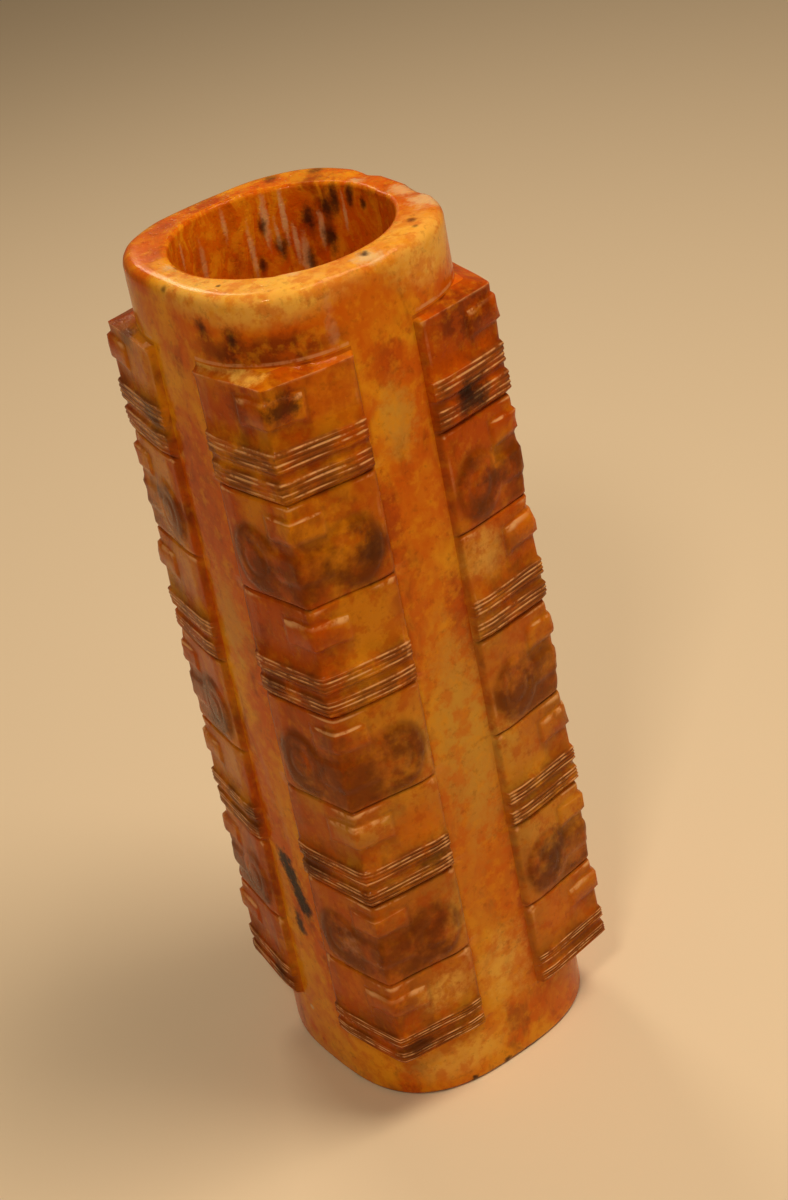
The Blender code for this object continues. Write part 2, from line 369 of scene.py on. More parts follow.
@dataclass
class StoneForm:
    """The plain form of the stone: rounded square collars, four corner blocks, plain channels."""

    height: float = 0.2100
    foot_collar: float = 0.0165
    rim_collar: float = 0.0155
    half_width: float = 0.0332
    squareness: float = 2.8
    taper: float = 0.070
    channel_half: float = 0.0085
    channel_depth: float = 0.00175
    face_fall: float = 0.0034
    ledge_run: float = 0.0045
    ledge_drop: float = 0.0014
    sill_run: float = 0.0040
    sill_rise: float = 0.0010
    rim_round: float = 0.0024
    foot_round: float = 0.0012
    side_slope: float = 0.0008
    wall_out: tuple[float, ...] = (0.25, 1.0)
    wall_down: tuple[float, ...] = (0.60, 0.20)
    arris_flat: float = 0.00022
    corner_gap: float = 0.0008
    foot_clear: float = 0.003
    sill_clear: float = 0.0012
    ledge_clear: float = 0.0030
    rim_clear: float = 0.001
    collar_rings: int = 5
    channel_columns: int = 4
    face_columns: int = 43

    @property
    def face_end(self) -> float:
        """How far a face's end by the channel stands from the middle of the stone."""
        return self.half_width + self.channel_depth

    @property
    def corner(self) -> float:
        """Both coordinates of the blocks' corner."""
        return self.face_end - self.face_fall

    @property
    def face_length(self) -> float:
        """The length of a face from the corner to the channel."""
        return math.hypot(self.corner - self.channel_half, self.face_fall)

    def spans(self) -> np.ndarray:
        """Distances from the corner along a face, channel end first, one for each of its columns."""
        return np.linspace(self.face_length - 2 * self.side_slope, self.corner_gap, self.face_columns)

    def columns(self) -> int:
        """Columns from the middle of a channel to just before the corner."""
        return self.channel_columns + 1 + len(self.wall_out) + self.face_columns

    def core_radius(self, x: np.ndarray, y: np.ndarray) -> np.ndarray:
        """The rounded square's radius in the direction of each point.

        Args:
            x: the points' x.
            y: the points' y.

        Returns:
            The radius at the foot, before the taper.
        """
        angle = np.arctan2(y, x)
        power = self.squareness
        total = np.abs(np.cos(angle)) ** power + np.abs(np.sin(angle)) ** power
        return self.half_width / total ** (1 / power)

    def block_radius(self, angle: float) -> float:
        """How far a corner block's plain face stands from the axis.

        Args:
            angle: the direction, in radians from +X.

        Returns:
            The distance at the foot, before the taper.
        """
        aside = math.radians(45) - abs(angle % math.radians(90) - math.radians(45))
        across = self.face_fall / self.face_length
        ahead = (self.corner - self.channel_half) / self.face_length
        return self.corner * (across + ahead) / (across * math.sin(aside) + ahead * math.cos(aside))

    def half_corner(self, lift: float, relief: np.ndarray) -> tuple[np.ndarray, np.ndarray]:
        """Half of a corner, from the middle of the +Y channel to the corner's edge.

        Args:
            lift: how far the block's faces stand out from their place, less than 0 when sunk.
            relief: the carving's relief, one value for each face column.

        Returns:
            The x and y of each column, before the taper.
        """
        length, c = self.face_length, self.corner
        along = np.array([-(c - self.channel_half), self.face_fall]) / length
        out = np.array([self.face_fall, c - self.channel_half]) / length
        start = max(0.0, lift * (out[1] - out[0]) / (along[0] - along[1]))
        spans = start + self.spans() * (length - start) / length
        face = np.array([[c], [c]]) + np.outer(along, spans) + np.outer(out, lift + relief)
        end = relief[0] + lift
        u = self.channel_half
        floor_x = np.linspace(0.0, u, self.channel_columns + 1)
        floor_y = np.full_like(floor_x, self.half_width)
        wall_x = u + np.array(self.wall_out) * self.side_slope
        wall_y = self.face_end + end - np.array(self.wall_down) * self.channel_depth
        edge = c + (lift + relief[-1] - self.arris_flat) / (out[0] + out[1])
        x = np.concatenate([floor_x, wall_x, face[0], [edge]])
        y = np.concatenate([floor_y, wall_y, face[1], [edge]])
        core = self.core_radius(x, y)
        reach = np.hypot(x, y)
        flat = np.arange(len(x)) <= self.channel_columns
        scale = np.where(flat | (reach < core), core / reach, 1.0)
        return x * scale, y * scale

    @staticmethod
    def all_round(x: np.ndarray, y: np.ndarray) -> tuple[np.ndarray, np.ndarray]:
        """Mirrors half a corner into a whole one and turns that to all four.

        Args:
            x: the x of half a corner's columns.
            y: their y.

        Returns:
            The x and y of every column, clockwise from +Y.
        """
        quarter_x = np.concatenate([x, y[-2:0:-1]])
        quarter_y = np.concatenate([y, x[-2:0:-1]])
        around_x = np.concatenate([quarter_x, quarter_y, -quarter_x, -quarter_y])
        around_y = np.concatenate([quarter_y, -quarter_x, -quarter_y, quarter_x])
        return around_x, around_y

    def narrowing(self, z: float) -> float:
        """How much the stone has narrowed at a height, as a share of its width at the foot."""
        return 1.0 - self.taper * z / self.height


@dataclass
class BoreForm:
    """The round bore, drilled from both ends to a waist."""

    foot_radius: float = 0.0248
    waist_radius: float = 0.0220
    rim_radius: float = 0.0236
    waist_height: float = 0.100
    mouth_round: float = 0.0010
    levels: int = 22

    def radius(self, z: float, height: float) -> float:
        """The bore's radius at a height of a stone this tall."""
        return float(np.interp(z, [0.0, self.waist_height, height],
                               [self.foot_radius, self.waist_radius, self.rim_radius]))


@dataclass(frozen=True)
class Weathering:
    """The stone's wear: how deep each kind goes, how large its features are, and the flakes that are lost."""

    hollow_depth: float = 0.00030
    hollow_size: float = 0.024
    ripple_depth: float = 0.00010
    ripple_size: float = 0.0045
    waver: float = 0.00030
    waver_size: float = 0.011
    level_foot: float = 0.002
    level_rim: float = 0.003
    level_reach: float = 0.020
    nibble_depth: float = 0.0009
    nibble_size: float = 0.0045
    arris_half: float = 0.0022
    arris_share: float = 1.2
    crown_depth: float = 0.00035
    crown_size: float = 0.010
    crown_low: float = 0.0030
    crown_high: float = 0.0005
    flake_grain: float = 0.0012
    flake_fall: float = 0.8
    chips: tuple[Chip, ...] = (
        Chip((0.0020, -0.0290, 0.2100), 0.0042, 0.0009),
        Chip((0.0290, -0.0090, 0.2100), 0.0050, 0.0008),
        Chip((0.0284, 0.0085, 0.2100), 0.0042, 0.0007),
        Chip((0.0248, -0.0020, 0.2100), 0.0030, 0.0006),
        Chip((-0.0160, -0.0190, 0.2100), 0.0028, 0.0004),
    )

    def worn(self, points: np.ndarray, bored: np.ndarray, form: StoneForm) -> np.ndarray:
        """Wears the stone by hand: soft hollows, lines that waver and flakes at the edges, never outwards.

        Args:
            points: every point of the stone.
            bored: True for the points of the bore's wall.
            form: the stone's plain form, which says where its edges are.

        Returns:
            The worn points.
        """
        z, top = points[:, 2], form.height
        reach = np.hypot(points[:, 0], points[:, 1])
        out = np.column_stack([points[:, 0] / reach, points[:, 1] / reach, np.zeros(len(points))])
        hollow = 0.5 + 0.5 * grain(points, self.hollow_size, 1.3)
        ripple = 0.5 + 0.5 * grain(points, self.ripple_size, 5.1)
        inwards = np.where(bored, -1.0, 1.0)[:, None]
        worn = points - out * (self.hollow_depth * hollow + self.ripple_depth * ripple)[:, None] * inwards
        middle = ease(z, self.level_foot, self.level_reach)
        middle = middle * (1 - ease(z, top - self.level_reach, top - self.level_rim))
        worn[:, 2] += self.waver * middle * grain(points, self.waver_size, 9.7)
        arris = hill(np.abs(points[:, 0]) - np.abs(points[:, 1]), 0.0, self.arris_half)
        arris = arris * (reach > form.corner * self.arris_share)
        nibble = np.maximum(grain(points, self.nibble_size, 2.2), -0.1)
        worn -= out * (self.nibble_depth * arris * nibble)[:, None]
        crown = ease(z, top - self.crown_low, top - self.crown_high)
        worn[:, 2] -= crown * (self.crown_depth * (0.5 + 0.5 * grain(points, self.crown_size, 3.9)))
        for chip in self.chips:
            gap = np.linalg.norm(points - np.array(chip.place), axis=1)
            bite = ease(chip.size - gap, 0.0, 0.7 * chip.size)
            rough = 0.75 + 0.5 * grain(points, self.flake_grain, 7.7)
            worn -= (bite * rough * chip.depth)[:, None] * (0.6 * out + np.array([0.0, 0.0, self.flake_fall]))
        worn[:, 2] = np.clip(worn[:, 2], 0.0, top)
        return worn


@dataclass
class Ring:
    """One closed row of points round the stone, with its marks and the finish of the faces above it."""

    points: np.ndarray
    marks: dict[Mark, np.ndarray]
    zone: Zone


class JadeStone:
    """The whole stone as one closed mesh: a loft of rings up the outside, over the rim and down the bore."""

    QUARTER_TURN = tuple(math.pi / 2 * share for share in (0.0, 0.25, 0.5, 0.75, 1.0))
    # Shares of the sill's rise, of the ledge's drop with how strong its painted highlight is at the block's
    # top edge, and of the flat rings' width.
    SILL = (0.0, 0.35, 0.7, 1.0)
    LEDGE = ((0.0, 0.6), (0.12, 0.2), (0.4, 0.0), (0.7, 0.0), (1.0, 0.0))
    RIM_FLAT = (0.2, 0.4, 0.6, 0.8)
    FOOT_FLAT = (0.8, 0.5, 0.2)
    # Heights over the ledge, each with how strong a painted reflection makes the collar's base pale there.
    OVER_LEDGE = ((0.00005, 0.0), (0.0005, 0.62), (0.0010, 0.62), (0.0018, 0.0))
    CLOSEST = 0.0002

    def __init__(self, form: StoneForm, carving: CornerCarving, bore: BoreForm, wear: Weathering) -> None:
        """Keeps the forms that the stone is made from.

        Args:
            form: the collars, channels and plain blocks.
            carving: what is cut into the blocks.
            bore: the hole through the stone.
            wear: how the surface is worn.
        """
        self.form, self.carving, self.bore, self.wear = form, carving, bore, wear
        self.around = 8 * form.columns()
        self.plan = form.half_corner(0.0, np.zeros(form.face_columns))
        self.core = form.core_radius(*self.plan)
        self.rings: list[Ring] = []

    def _add_ring(self, x: np.ndarray, y: np.ndarray, z: float, step: int, zone: Zone,
                  marks: dict[Mark, np.ndarray] | None = None) -> None:
        """Adds a ring.

        Args:
            x: the x of every column.
            y: the y of every column.
            z: the ring's height.
            step: how many columns there are to each of its points.
            zone: the finish of the faces above it.
            marks: its marks at every column, or None where it has none.
        """
        kept = slice(None, None, step)
        points = np.column_stack([x, y, np.full_like(x, z)])[kept]
        plain = {mark: np.zeros(len(points)) for mark in Mark}
        if marks:
            plain = {mark: values[kept] for mark, values in marks.items()}
        self.rings.append(Ring(points, plain, zone))

    @staticmethod
    def _mirrored(half: np.ndarray) -> np.ndarray:
        """A mark's values at every column, from those of half a corner."""
        return np.tile(np.concatenate([half, half[-2:0:-1]]), 4)

    def _block_ring(self, z: float, lift: float, step: int, carved: bool = True, wear: float = 0.0) -> None:
        """Adds a ring through the corner blocks, with their carving unless the blocks only start or end.

        Args:
            z: the ring's height.
            lift: how far the faces stand out from their place, less than 0 when sunk.
            step: how many columns there are to each of its points.
            carved: False where the blocks only start or end.
            wear: how pale a painted highlight makes an uncarved ring.
        """
        spans = self.form.spans()
        level = self.carving.level(spans, z)
        relief = level.relief if carved else np.zeros_like(spans)
        x, y = self.form.half_corner(lift, relief)
        narrow = self.form.narrowing(z)
        x, y = self.form.all_round(x * narrow, y * narrow)
        marks = {}
        for mark, values in level.marks.items():
            flat = np.zeros(self.form.channel_columns + 1)
            # The channel walls take half the marks of the face's end, and painted shade darkens them a little
            # more.
            lead = np.full(len(self.form.wall_out), values[0] * 0.5 + (0.30 if mark is Mark.STAIN else 0.0))
            half = np.concatenate([flat, lead, values, values[-1:]]) * (1.0 if carved else 0.0)
            if mark is Mark.WEAR and not carved:
                half[len(flat):] = wear
            marks[mark] = self._mirrored(half)
        self._add_ring(x, y, z, step, Zone.CARVED, marks)

    def _round_ring(self, z: float, radius: Any, step: int, zone: Zone,
                    marks: dict[Mark, np.ndarray] | None = None) -> None:
        """Adds a ring of a given radius at the same columns as the blocks.

        Args:
            z: the ring's height.
            radius: one radius, or one for each column of half a corner.
            step: how many columns there are to each of its points.
            zone: the finish of the faces above it.
            marks: its marks at every column, or None where it has none.
        """
        scale = radius / np.hypot(*self.plan)
        x, y = self.form.all_round(self.plan[0] * scale, self.plan[1] * scale)
        self._add_ring(x, y, z, step, zone, marks)

    def _core_ring(self, z: float, inset: float, wear: float = 0.0, stain: float = 0.0) -> None:
        """Adds a ring of the rounded square, at the same columns as the blocks.

        Args:
            z: the ring's height.
            inset: how far it lies inside the rounded square, at a rounded edge.
            wear: how pale a painted reflection makes it over the corner blocks.
            stain: how much darker it is made all round.
        """
        marks = {mark: np.zeros(self.around) for mark in Mark}
        over_block = np.arange(self.form.columns() + 1) > self.form.channel_columns
        marks[Mark.WEAR] = self._mirrored(over_block * wear)
        marks[Mark.STAIN] += stain
        self._round_ring(z, self.core * self.form.narrowing(z) - inset, 2, Zone.POLISHED, marks)

    def _flat_ring(self, z: float, share: float) -> None:
        """Adds a ring on the flat rim or foot.

        Args:
            z: the ring's height.
            share: how far it lies from the outer edge, 0, towards the bore, 1.
        """
        form = self.form
        inset = form.rim_round if z > form.height / 2 else form.foot_round
        outer = self.core * form.narrowing(z) - inset
        inner = self.bore.radius(z, form.height) + self.bore.mouth_round
        self._round_ring(z, outer + (inner - outer) * share, 2, Zone.POLISHED)

    def _bore_ring(self, z: float, radius: float, step: int = 4) -> None:
        """Adds a ring of the bore."""
        self._round_ring(z, radius, step, Zone.BORED)

    def _loft(self) -> None:
        """Lays out every ring, from the foot's outer edge round to its inner one."""
        form, bore, height = self.form, self.bore, self.form.height
        for turn in self.QUARTER_TURN:
            # The foot's rounding is made darker towards the underside.
            self._core_ring(form.foot_round * (1 - math.cos(turn)), form.foot_round * (1 - math.sin(turn)),
                            stain=math.cos(turn))
        block_top = height - form.rim_collar
        for z in np.linspace(form.foot_clear, form.foot_collar - form.sill_clear, form.collar_rings):
            self._core_ring(float(z), 0.0)
        for share in self.SILL:
            z = form.foot_collar + share * form.sill_rise
            self._block_ring(z, -form.sill_run * (1 - share), 2, False)
        last = block_top - form.ledge_drop
        for z, step in self.carving.levels():
            if form.foot_collar + form.sill_rise + self.CLOSEST < z < last - self.CLOSEST:
                self._block_ring(float(z), 0.0, step)
        for share, wear in self.LEDGE:
            self._block_ring(last + share * form.ledge_drop, -form.ledge_run * share, 2, False, wear)
        for z, wear in self.OVER_LEDGE:
            self._core_ring(block_top + z, 0.0, wear=wear)
        rim_foot = height - form.rim_round - form.rim_clear
        for z in np.linspace(block_top + form.ledge_clear, rim_foot, form.collar_rings):
            self._core_ring(float(z), 0.0)
        for turn in self.QUARTER_TURN:
            self._core_ring(height - form.rim_round * (1 - math.sin(turn)),
                            form.rim_round * (1 - math.cos(turn)))
        for share in self.RIM_FLAT:
            self._flat_ring(height, share)
        mouth = bore.mouth_round
        for turn in self.QUARTER_TURN[:-1]:
            self._bore_ring(height - mouth * (1 - math.cos(turn)),
                            bore.radius(height, height) + mouth * (1 - math.sin(turn)), 2)
        for z in np.linspace(height - mouth, mouth, bore.levels):
            self._bore_ring(float(z), bore.radius(float(z), height))
        for turn in reversed(self.QUARTER_TURN[:-1]):
            self._bore_ring(mouth * (1 - math.cos(turn)),
                            bore.radius(0.0, height) + mouth * (1 - math.sin(turn)), 2)
        for share in self.FOOT_FLAT:
            self._flat_ring(0.0, share)

    @staticmethod
    def _stitch(low: Ring, high: Ring, low_start: int, high_start: int) -> list[tuple[int, ...]]:
        """Faces between two rings, also where one has twice the other's points.

        Args:
            low: the ring that comes first.
            high: the next ring.
            low_start: the first ring's first point in the mesh.
            high_start: the next ring's first point in the mesh.

        Returns:
            The faces as tuples of points, with their fronts outwards.
        """
        m, n = len(low.points), len(high.points)
        if m == n:
            return [(low_start + i, high_start + i, high_start + (i + 1) % n, low_start + (i + 1) % m)
                    for i in range(m)]
        faces = []
        for i in range(min(m, n)):
            if m < n:
                a, b = low_start + i, low_start + (i + 1) % m
                c, d, e = (high_start + (2 * i + k) % n for k in range(3))
                faces += [(a, c, d), (a, d, b), (b, d, e)]
            else:
                a, b, c = (low_start + (2 * i + k) % m for k in range(3))
                d, e = high_start + i, high_start + (i + 1) % n
                faces += [(a, d, b), (b, d, e), (b, e, c)]
        return faces

    def _face_zones(self, ring: Ring, following: Ring, count: int) -> list[int]:
        """The finish of the faces above a ring: the channels between the carved blocks stay polished.

        Args:
            ring: the ring below the faces.
            following: the ring above them.
            count: how many faces there are.

        Returns:
            The material slot of each face.
        """
        if ring.zone is not Zone.CARVED or following.zone is not Zone.CARVED:
            zone = ring.zone if ring.zone is not Zone.CARVED else Zone.POLISHED
            return [zone.value] * count
        quarter, flat = 2 * self.form.columns(), self.form.channel_columns
        place = np.arange(count) * self.around // count % quarter
        channel = (place < flat) | (place >= quarter - flat)
        return np.where(channel, Zone.POLISHED.value, Zone.CARVED.value).tolist()

    def build(self) -> bpy.types.Object:
        """Makes the mesh object.

        Returns:
            The stone, with its marks as point attributes and a slot number on each face.
        """
        self._loft()
        starts = np.cumsum([0] + [len(ring.points) for ring in self.rings])
        points = np.concatenate([ring.points for ring in self.rings])
        bored = np.concatenate([np.full(len(ring.points), ring.zone is Zone.BORED) for ring in self.rings])
        points = self.wear.worn(points, bored, self.form)
        faces: list[tuple[int, ...]] = []
        zones: list[int] = []
        for index, ring in enumerate(self.rings):
            following = (index + 1) % len(self.rings)
            new = self._stitch(ring, self.rings[following], int(starts[index]), int(starts[following]))
            faces += new
            zones += self._face_zones(ring, self.rings[following], len(new))
        mesh = bpy.data.meshes.new("jade_stone")
        mesh.from_pydata(points.tolist(), [], faces)
        mesh.polygons.foreach_set("material_index", np.array(zones, dtype=np.int32))
        for mark in Mark:
            values = np.clip(np.concatenate([ring.marks[mark] for ring in self.rings]), 0.0, 1.0)
            attribute = mesh.attributes.new(mark.value, "FLOAT", "POINT")
            attribute.data.foreach_set("value", values.astype(np.float32))
        mesh.shade_smooth()
        mesh.set_sharp_from_angle(angle=math.radians(55))
        stone = bpy.data.objects.new("jade_stone", mesh)
        bpy.context.scene.collection.objects.link(stone)
        return stone


class Recipe:
    """Adds nodes to one tree and joins them, so that a finish reads as its recipe."""

    def __init__(self, tree: bpy.types.NodeTree) -> None:
        """Keeps the tree that the nodes go into."""
        self.tree = tree

    def add(self, kind: str, inputs: dict[Any, Any] | None = None, **settings: Any) -> bpy.types.Node:
        """Adds a node.

        Args:
            kind: the node's Blender type.
            inputs: a value or a socket to link for each input, by name or number.
            settings: the node's own settings.

        Returns:
            The new node.
        """
        node = self.tree.nodes.new(kind)
        for name, value in settings.items():
            setattr(node, name, value)
        for name, value in (inputs or {}).items():
            if isinstance(value, bpy.types.NodeSocket):
                self.tree.links.new(value, node.inputs[name])
            else:
                node.inputs[name].default_value = value
        return node

    def math(self, operation: str, first: Any, second: Any = 0.0) -> bpy.types.NodeSocket:
        """The result of a sum on two values or sockets."""
        return self.add("ShaderNodeMath", {0: first, 1: second}, operation=operation).outputs[0]

    def vector(self, operation: str, first: Any, second: Any) -> bpy.types.NodeSocket:
        """The result of a sum on two vectors or sockets."""
        return self.add("ShaderNodeVectorMath", {0: first, 1: second}, operation=operation).outputs[0]

    def blend(self, first: Any, second: Any, third: Any) -> bpy.types.NodeSocket:
        """The first vector times the second, plus the third."""
        inputs = {0: first, 1: second, 2: third}
        return self.add("ShaderNodeVectorMath", inputs, operation="MULTIPLY_ADD").outputs[0]

    def mix(self, share: Any, first: Any, second: Any) -> bpy.types.NodeSocket:
        """A colour between two others."""
        return self.add("ShaderNodeMix", {0: share, 6: first, 7: second}, data_type="RGBA").outputs[2]

    def between(self, value: Any, low: Any, high: Any, top: Any = 1.0) -> bpy.types.NodeSocket:
        """A smooth rise from 0 to top as a value goes from low to high."""
        inputs = {"Value": value, "From Min": low, "From Max": high, "To Max": top}
        return self.add("ShaderNodeMapRange", inputs, interpolation_type="SMOOTHSTEP").outputs[0]

    def noise(self, place: Any, scale: float, detail: float, rough: float) -> bpy.types.NodeSocket:
        """The value of a noise at a place."""
        inputs = {"Vector": place, "Scale": scale, "Detail": detail, "Roughness": rough}
        return self.add("ShaderNodeTexNoise", inputs).outputs[0]

    def swirl(self, place: Any, scale: float, detail: float, rough: float) -> bpy.types.NodeSocket:
        """Three noises at a place as a vector, each about 0."""
        inputs = {"Vector": place, "Scale": scale, "Detail": detail, "Roughness": rough}
        noises = self.add("ShaderNodeTexNoise", inputs).outputs[1]
        return self.vector("SUBTRACT", noises, (0.5, 0.5, 0.5))

    def stretched(self, place: Any, stretch: Triple) -> bpy.types.NodeSocket:
        """A place scaled along each axis, so that what is drawn there runs long or short."""
        return self.vector("MULTIPLY", place, stretch)

    def group(self, tree: bpy.types.NodeTree, inputs: dict[str, Any]) -> bpy.types.Node:
        """Places a shared group and fills its inputs by their names."""
        return self.add("ShaderNodeGroup", inputs, node_tree=tree)

    def give(self, result: bpy.types.Node, **outputs: bpy.types.NodeSocket) -> bpy.types.NodeTree:
        """Links what a group gives.

        Args:
            result: the group's output node.
            outputs: the socket for each output by its name.

        Returns:
            The group's tree.
        """
        for name, socket in outputs.items():
            self.tree.links.new(socket, result.inputs[name])
        return self.tree


# Noise tears a patch's edge by TORN_WIDTH millimetres, but by no more than MOST_TORN times its width.
MOST_TORN = 2.2
TORN_WIDTH = 9.0


@dataclass(frozen=True)
class Patch:
    """A cloud or a dark inclusion in the jade, by its turn round the axis and its height.

    The turn is in degrees from +X, the rest in millimetres. A reach of 0 puts it on the outer surface.
    """

    turn: float
    height: float
    wide: float
    tall: float
    colour: Shade
    strength: float = 0.6
    soft: float = 0.6
    reach: float = 0.0

    @property
    def over_stain(self) -> bool:
        """True for a black, umber or cream mark, which shows through mottle and stain."""
        return self.colour in (UMBER, PITCH, CREAM)

    def centre(self, zone: Zone, form: StoneForm, bore: BoreForm) -> Triple:
        """The patch's place on the surface that its finish covers.

        Args:
            zone: the finish that it lies in.
            form: the stone's outside.
            bore: the bore.

        Returns:
            Its middle.
        """
        angle, z = math.radians(self.turn), self.height * MM
        if self.reach:
            reach = self.reach * MM
        elif zone is Zone.BORED:
            reach = bore.radius(z, form.height)
        elif zone is Zone.CARVED:
            reach = form.block_radius(angle) * form.narrowing(z)
        else:
            core = form.core_radius(np.cos(angle), np.sin(angle))
            reach = float(core) * form.narrowing(z)
        return (reach * math.cos(angle), reach * math.sin(angle), z)

    def settings(self, zone: Zone, form: StoneForm, bore: BoreForm) -> dict[str, Any]:
        """The values that the patch's node group takes.

        Args:
            zone: the finish that it lies in.
            form: the stone's outside.
            bore: the bore.

        Returns:
            Each value by the name of the group's input.
        """
        shares = (1 / (self.wide * MM), 1 / (self.wide * MM), 1 / (self.tall * MM))
        offset = tuple(-place * share for place, share in zip(self.centre(zone, form, bore), shares))
        torn = min(MOST_TORN, TORN_WIDTH / self.wide)
        return {"Grain": shares, "Offset": offset, "Torn": (torn, torn, torn), "Strength": self.strength,
                "Inner": 1.0 - self.soft, "Outer": 1.0 + self.soft}


class JadeEffects:
    """The shader node groups that the jade finishes share, each built once."""

    def __init__(self) -> None:
        """Builds the groups."""
        self.clouding = self._clouding()
        self.patch = self._patch()
        self.mottle = self._mottle()
        self.stain = self._stain()
        self.surface = self._surface()

    @staticmethod
    def _start(name: str, inputs: dict[str, str], outputs: dict[str, str]) -> tuple[Recipe, Any, Any]:
        """Starts a group with named sockets.

        Args:
            name: the group's name.
            inputs: the kind of each input by its name.
            outputs: the kind of each output by its name.

        Returns:
            A recipe on the group's tree, its input node's sockets and its output node.
        """
        tree = bpy.data.node_groups.new(name, "ShaderNodeTree")
        for label, kind in inputs.items():
            tree.interface.new_socket(label, in_out="INPUT", socket_type="NodeSocket" + kind)
        for label, kind in outputs.items():
            tree.interface.new_socket(label, in_out="OUTPUT", socket_type="NodeSocket" + kind)
        recipe = Recipe(tree)
        return recipe, recipe.add("NodeGroupInput").outputs, recipe.add("NodeGroupOutput")

    def _clouding(self) -> bpy.types.NodeTree:
        """The jade's own colour: golden, with orange clouds, deep red-brown drifts and fine fibres.

        Returns:
            The group.
        """
        inputs = {"Place": "Vector", "Golden": "Color", "Orange": "Color", "Deep": "Color",
                  "Warmth": "Float", "Depth": "Float", "Fibre": "Float"}
        recipe, given, result = self._start("jade_clouding", inputs, {"Colour": "Color"})
        push = recipe.stretched(recipe.swirl(given["Place"], 60.0, 2.0, 0.6), (0.014, 0.014, 0.018))
        torn = recipe.vector("ADD", given["Place"], push)
        broad = recipe.noise(recipe.stretched(torn, (1.0, 1.0, 0.6)), 46.0, 4.0, 0.58)
        drift = recipe.noise(recipe.stretched(torn, (1.0, 1.0, 0.5)), 100.0, 4.0, 0.64)
        fibre = recipe.noise(recipe.stretched(torn, (1.0, 1.0, 0.16)), 330.0, 3.0, 0.65)
        fine = recipe.noise(given["Place"], 900.0, 2.0, 0.6)
        warm = recipe.between(recipe.math("ADD", broad, given["Warmth"]), 0.42, 0.56)
        colour = recipe.mix(warm, given["Golden"], given["Orange"])
        deep = recipe.between(recipe.math("ADD", drift, given["Depth"]), 0.51, 0.70, 0.66)
        colour = recipe.mix(deep, colour, given["Deep"])
        streak = recipe.math("MULTIPLY", recipe.between(fibre, 0.45, 0.65), given["Fibre"])
        colour = recipe.mix(streak, colour, given["Golden"])
        speck = recipe.between(fine, 0.60, 0.76, 0.3)
        return recipe.give(result, Colour=recipe.mix(speck, colour, given["Deep"]))

    def _mottle(self) -> bpy.types.NodeTree:
        """The fine mottling that runs through every cloud: small golden, rusty and dark grains.

        Returns:
            The group.
        """
        inputs = {"Colour": "Color", "Place": "Vector", "Golden": "Color", "Rusty": "Color", "Dark": "Color"}
        recipe, given, result = self._start("jade_mottle", inputs, {"Colour": "Color"})
        place = given["Place"]
        bright = recipe.noise(place, 330.0, 3.0, 0.66)
        rusty = recipe.noise(recipe.vector("ADD", place, (0.3, 0.1, 0.2)), 210.0, 4.0, 0.66)
        dark = recipe.noise(recipe.vector("ADD", place, (0.7, 0.4, 0.1)), 420.0, 3.0, 0.68)
        colour = recipe.mix(recipe.between(rusty, 0.47, 0.62, 0.55), given["Colour"], given["Rusty"])
        colour = recipe.mix(recipe.between(bright, 0.48, 0.70, 0.45), colour, given["Golden"])
        colour = recipe.mix(recipe.between(dark, 0.55, 0.72, 0.30), colour, given["Dark"])
        return recipe.give(result, Colour=colour)

    def _patch(self) -> bpy.types.NodeTree:
        """The mask of one cloud or inclusion: 1 within an ellipsoid, softly down to 0 outside it.

        Returns:
            The group.
        """
        inputs = {"Place": "Vector", "Ragged": "Vector", "Grain": "Vector", "Offset": "Vector",
                  "Torn": "Vector", "Inner": "Float", "Outer": "Float", "Strength": "Float"}
        recipe, given, result = self._start("jade_patch", inputs, {"Mask": "Float"})
        away = recipe.blend(given["Place"], given["Grain"], given["Offset"])
        away = recipe.blend(given["Ragged"], given["Torn"], away)
        reach = recipe.add("ShaderNodeVectorMath", {0: away}, operation="LENGTH").outputs["Value"]
        mask = recipe.between(reach, given["Outer"], given["Inner"], given["Strength"])
        return recipe.give(result, Mask=mask)

    def _stain(self) -> bpy.types.NodeTree:
        """What the ground left in the carving, with painted light and shade among it: dusty bands, dark eyes
        and lines, channel walls darkened by painted shade, and pale worn crests and edges that are partly
        painted highlights.

        Returns:
            The group.
        """
        inputs = {"Colour": "Color", "Place": "Vector", "Stain": "Float", "Band": "Float", "Eye": "Float",
                  "Wear": "Float", "Earth_And_Shade": "Color", "Dust": "Color", "Brown": "Color", "Rubbed_And_Glint": "Color"}
        outputs = {"Colour": "Color", "Grime": "Float"}
        recipe, given, result = self._start("carving_stain", inputs, outputs)
        cloud = recipe.noise(given["Place"], 120.0, 4.0, 0.62)
        fine = recipe.noise(given["Place"], 300.0, 3.0, 0.62)
        dusty = recipe.math("MULTIPLY", given["Band"], recipe.between(cloud, 0.34, 0.58, 0.80))
        colour = recipe.mix(dusty, given["Colour"], given["Dust"])
        eye = recipe.math("MULTIPLY", given["Eye"], recipe.between(cloud, 0.30, 0.60, 0.88))
        colour = recipe.mix(eye, colour, given["Brown"])
        both = recipe.math("MAXIMUM", eye, recipe.math("MULTIPLY", dusty, 0.8))
        blotch = recipe.math("MULTIPLY", both, recipe.between(fine, 0.52, 0.70, 0.42))
        broken = recipe.math("ADD", recipe.between(cloud, 0.38, 0.60, 0.8), 0.15)
        # Soil stain in the carving, with painted shade on the channel walls, darkens the colour and roughens
        # it.
        grime_and_shade = recipe.math("MAXIMUM", recipe.math("MULTIPLY", given["Stain"], broken), blotch)
        colour = recipe.mix(grime_and_shade, colour, given["Earth_And_Shade"])
        broken = recipe.between(fine, 0.36, 0.56, 0.90)
        # Pale worn crests and painted highlights, broken along their length.
        rub_and_glint = recipe.math("MULTIPLY", recipe.between(given["Wear"], 0.35, 0.85), broken)
        return recipe.give(result, Colour=recipe.mix(rub_and_glint, colour, given["Rubbed_And_Glint"]), Grime=grime_and_shade)

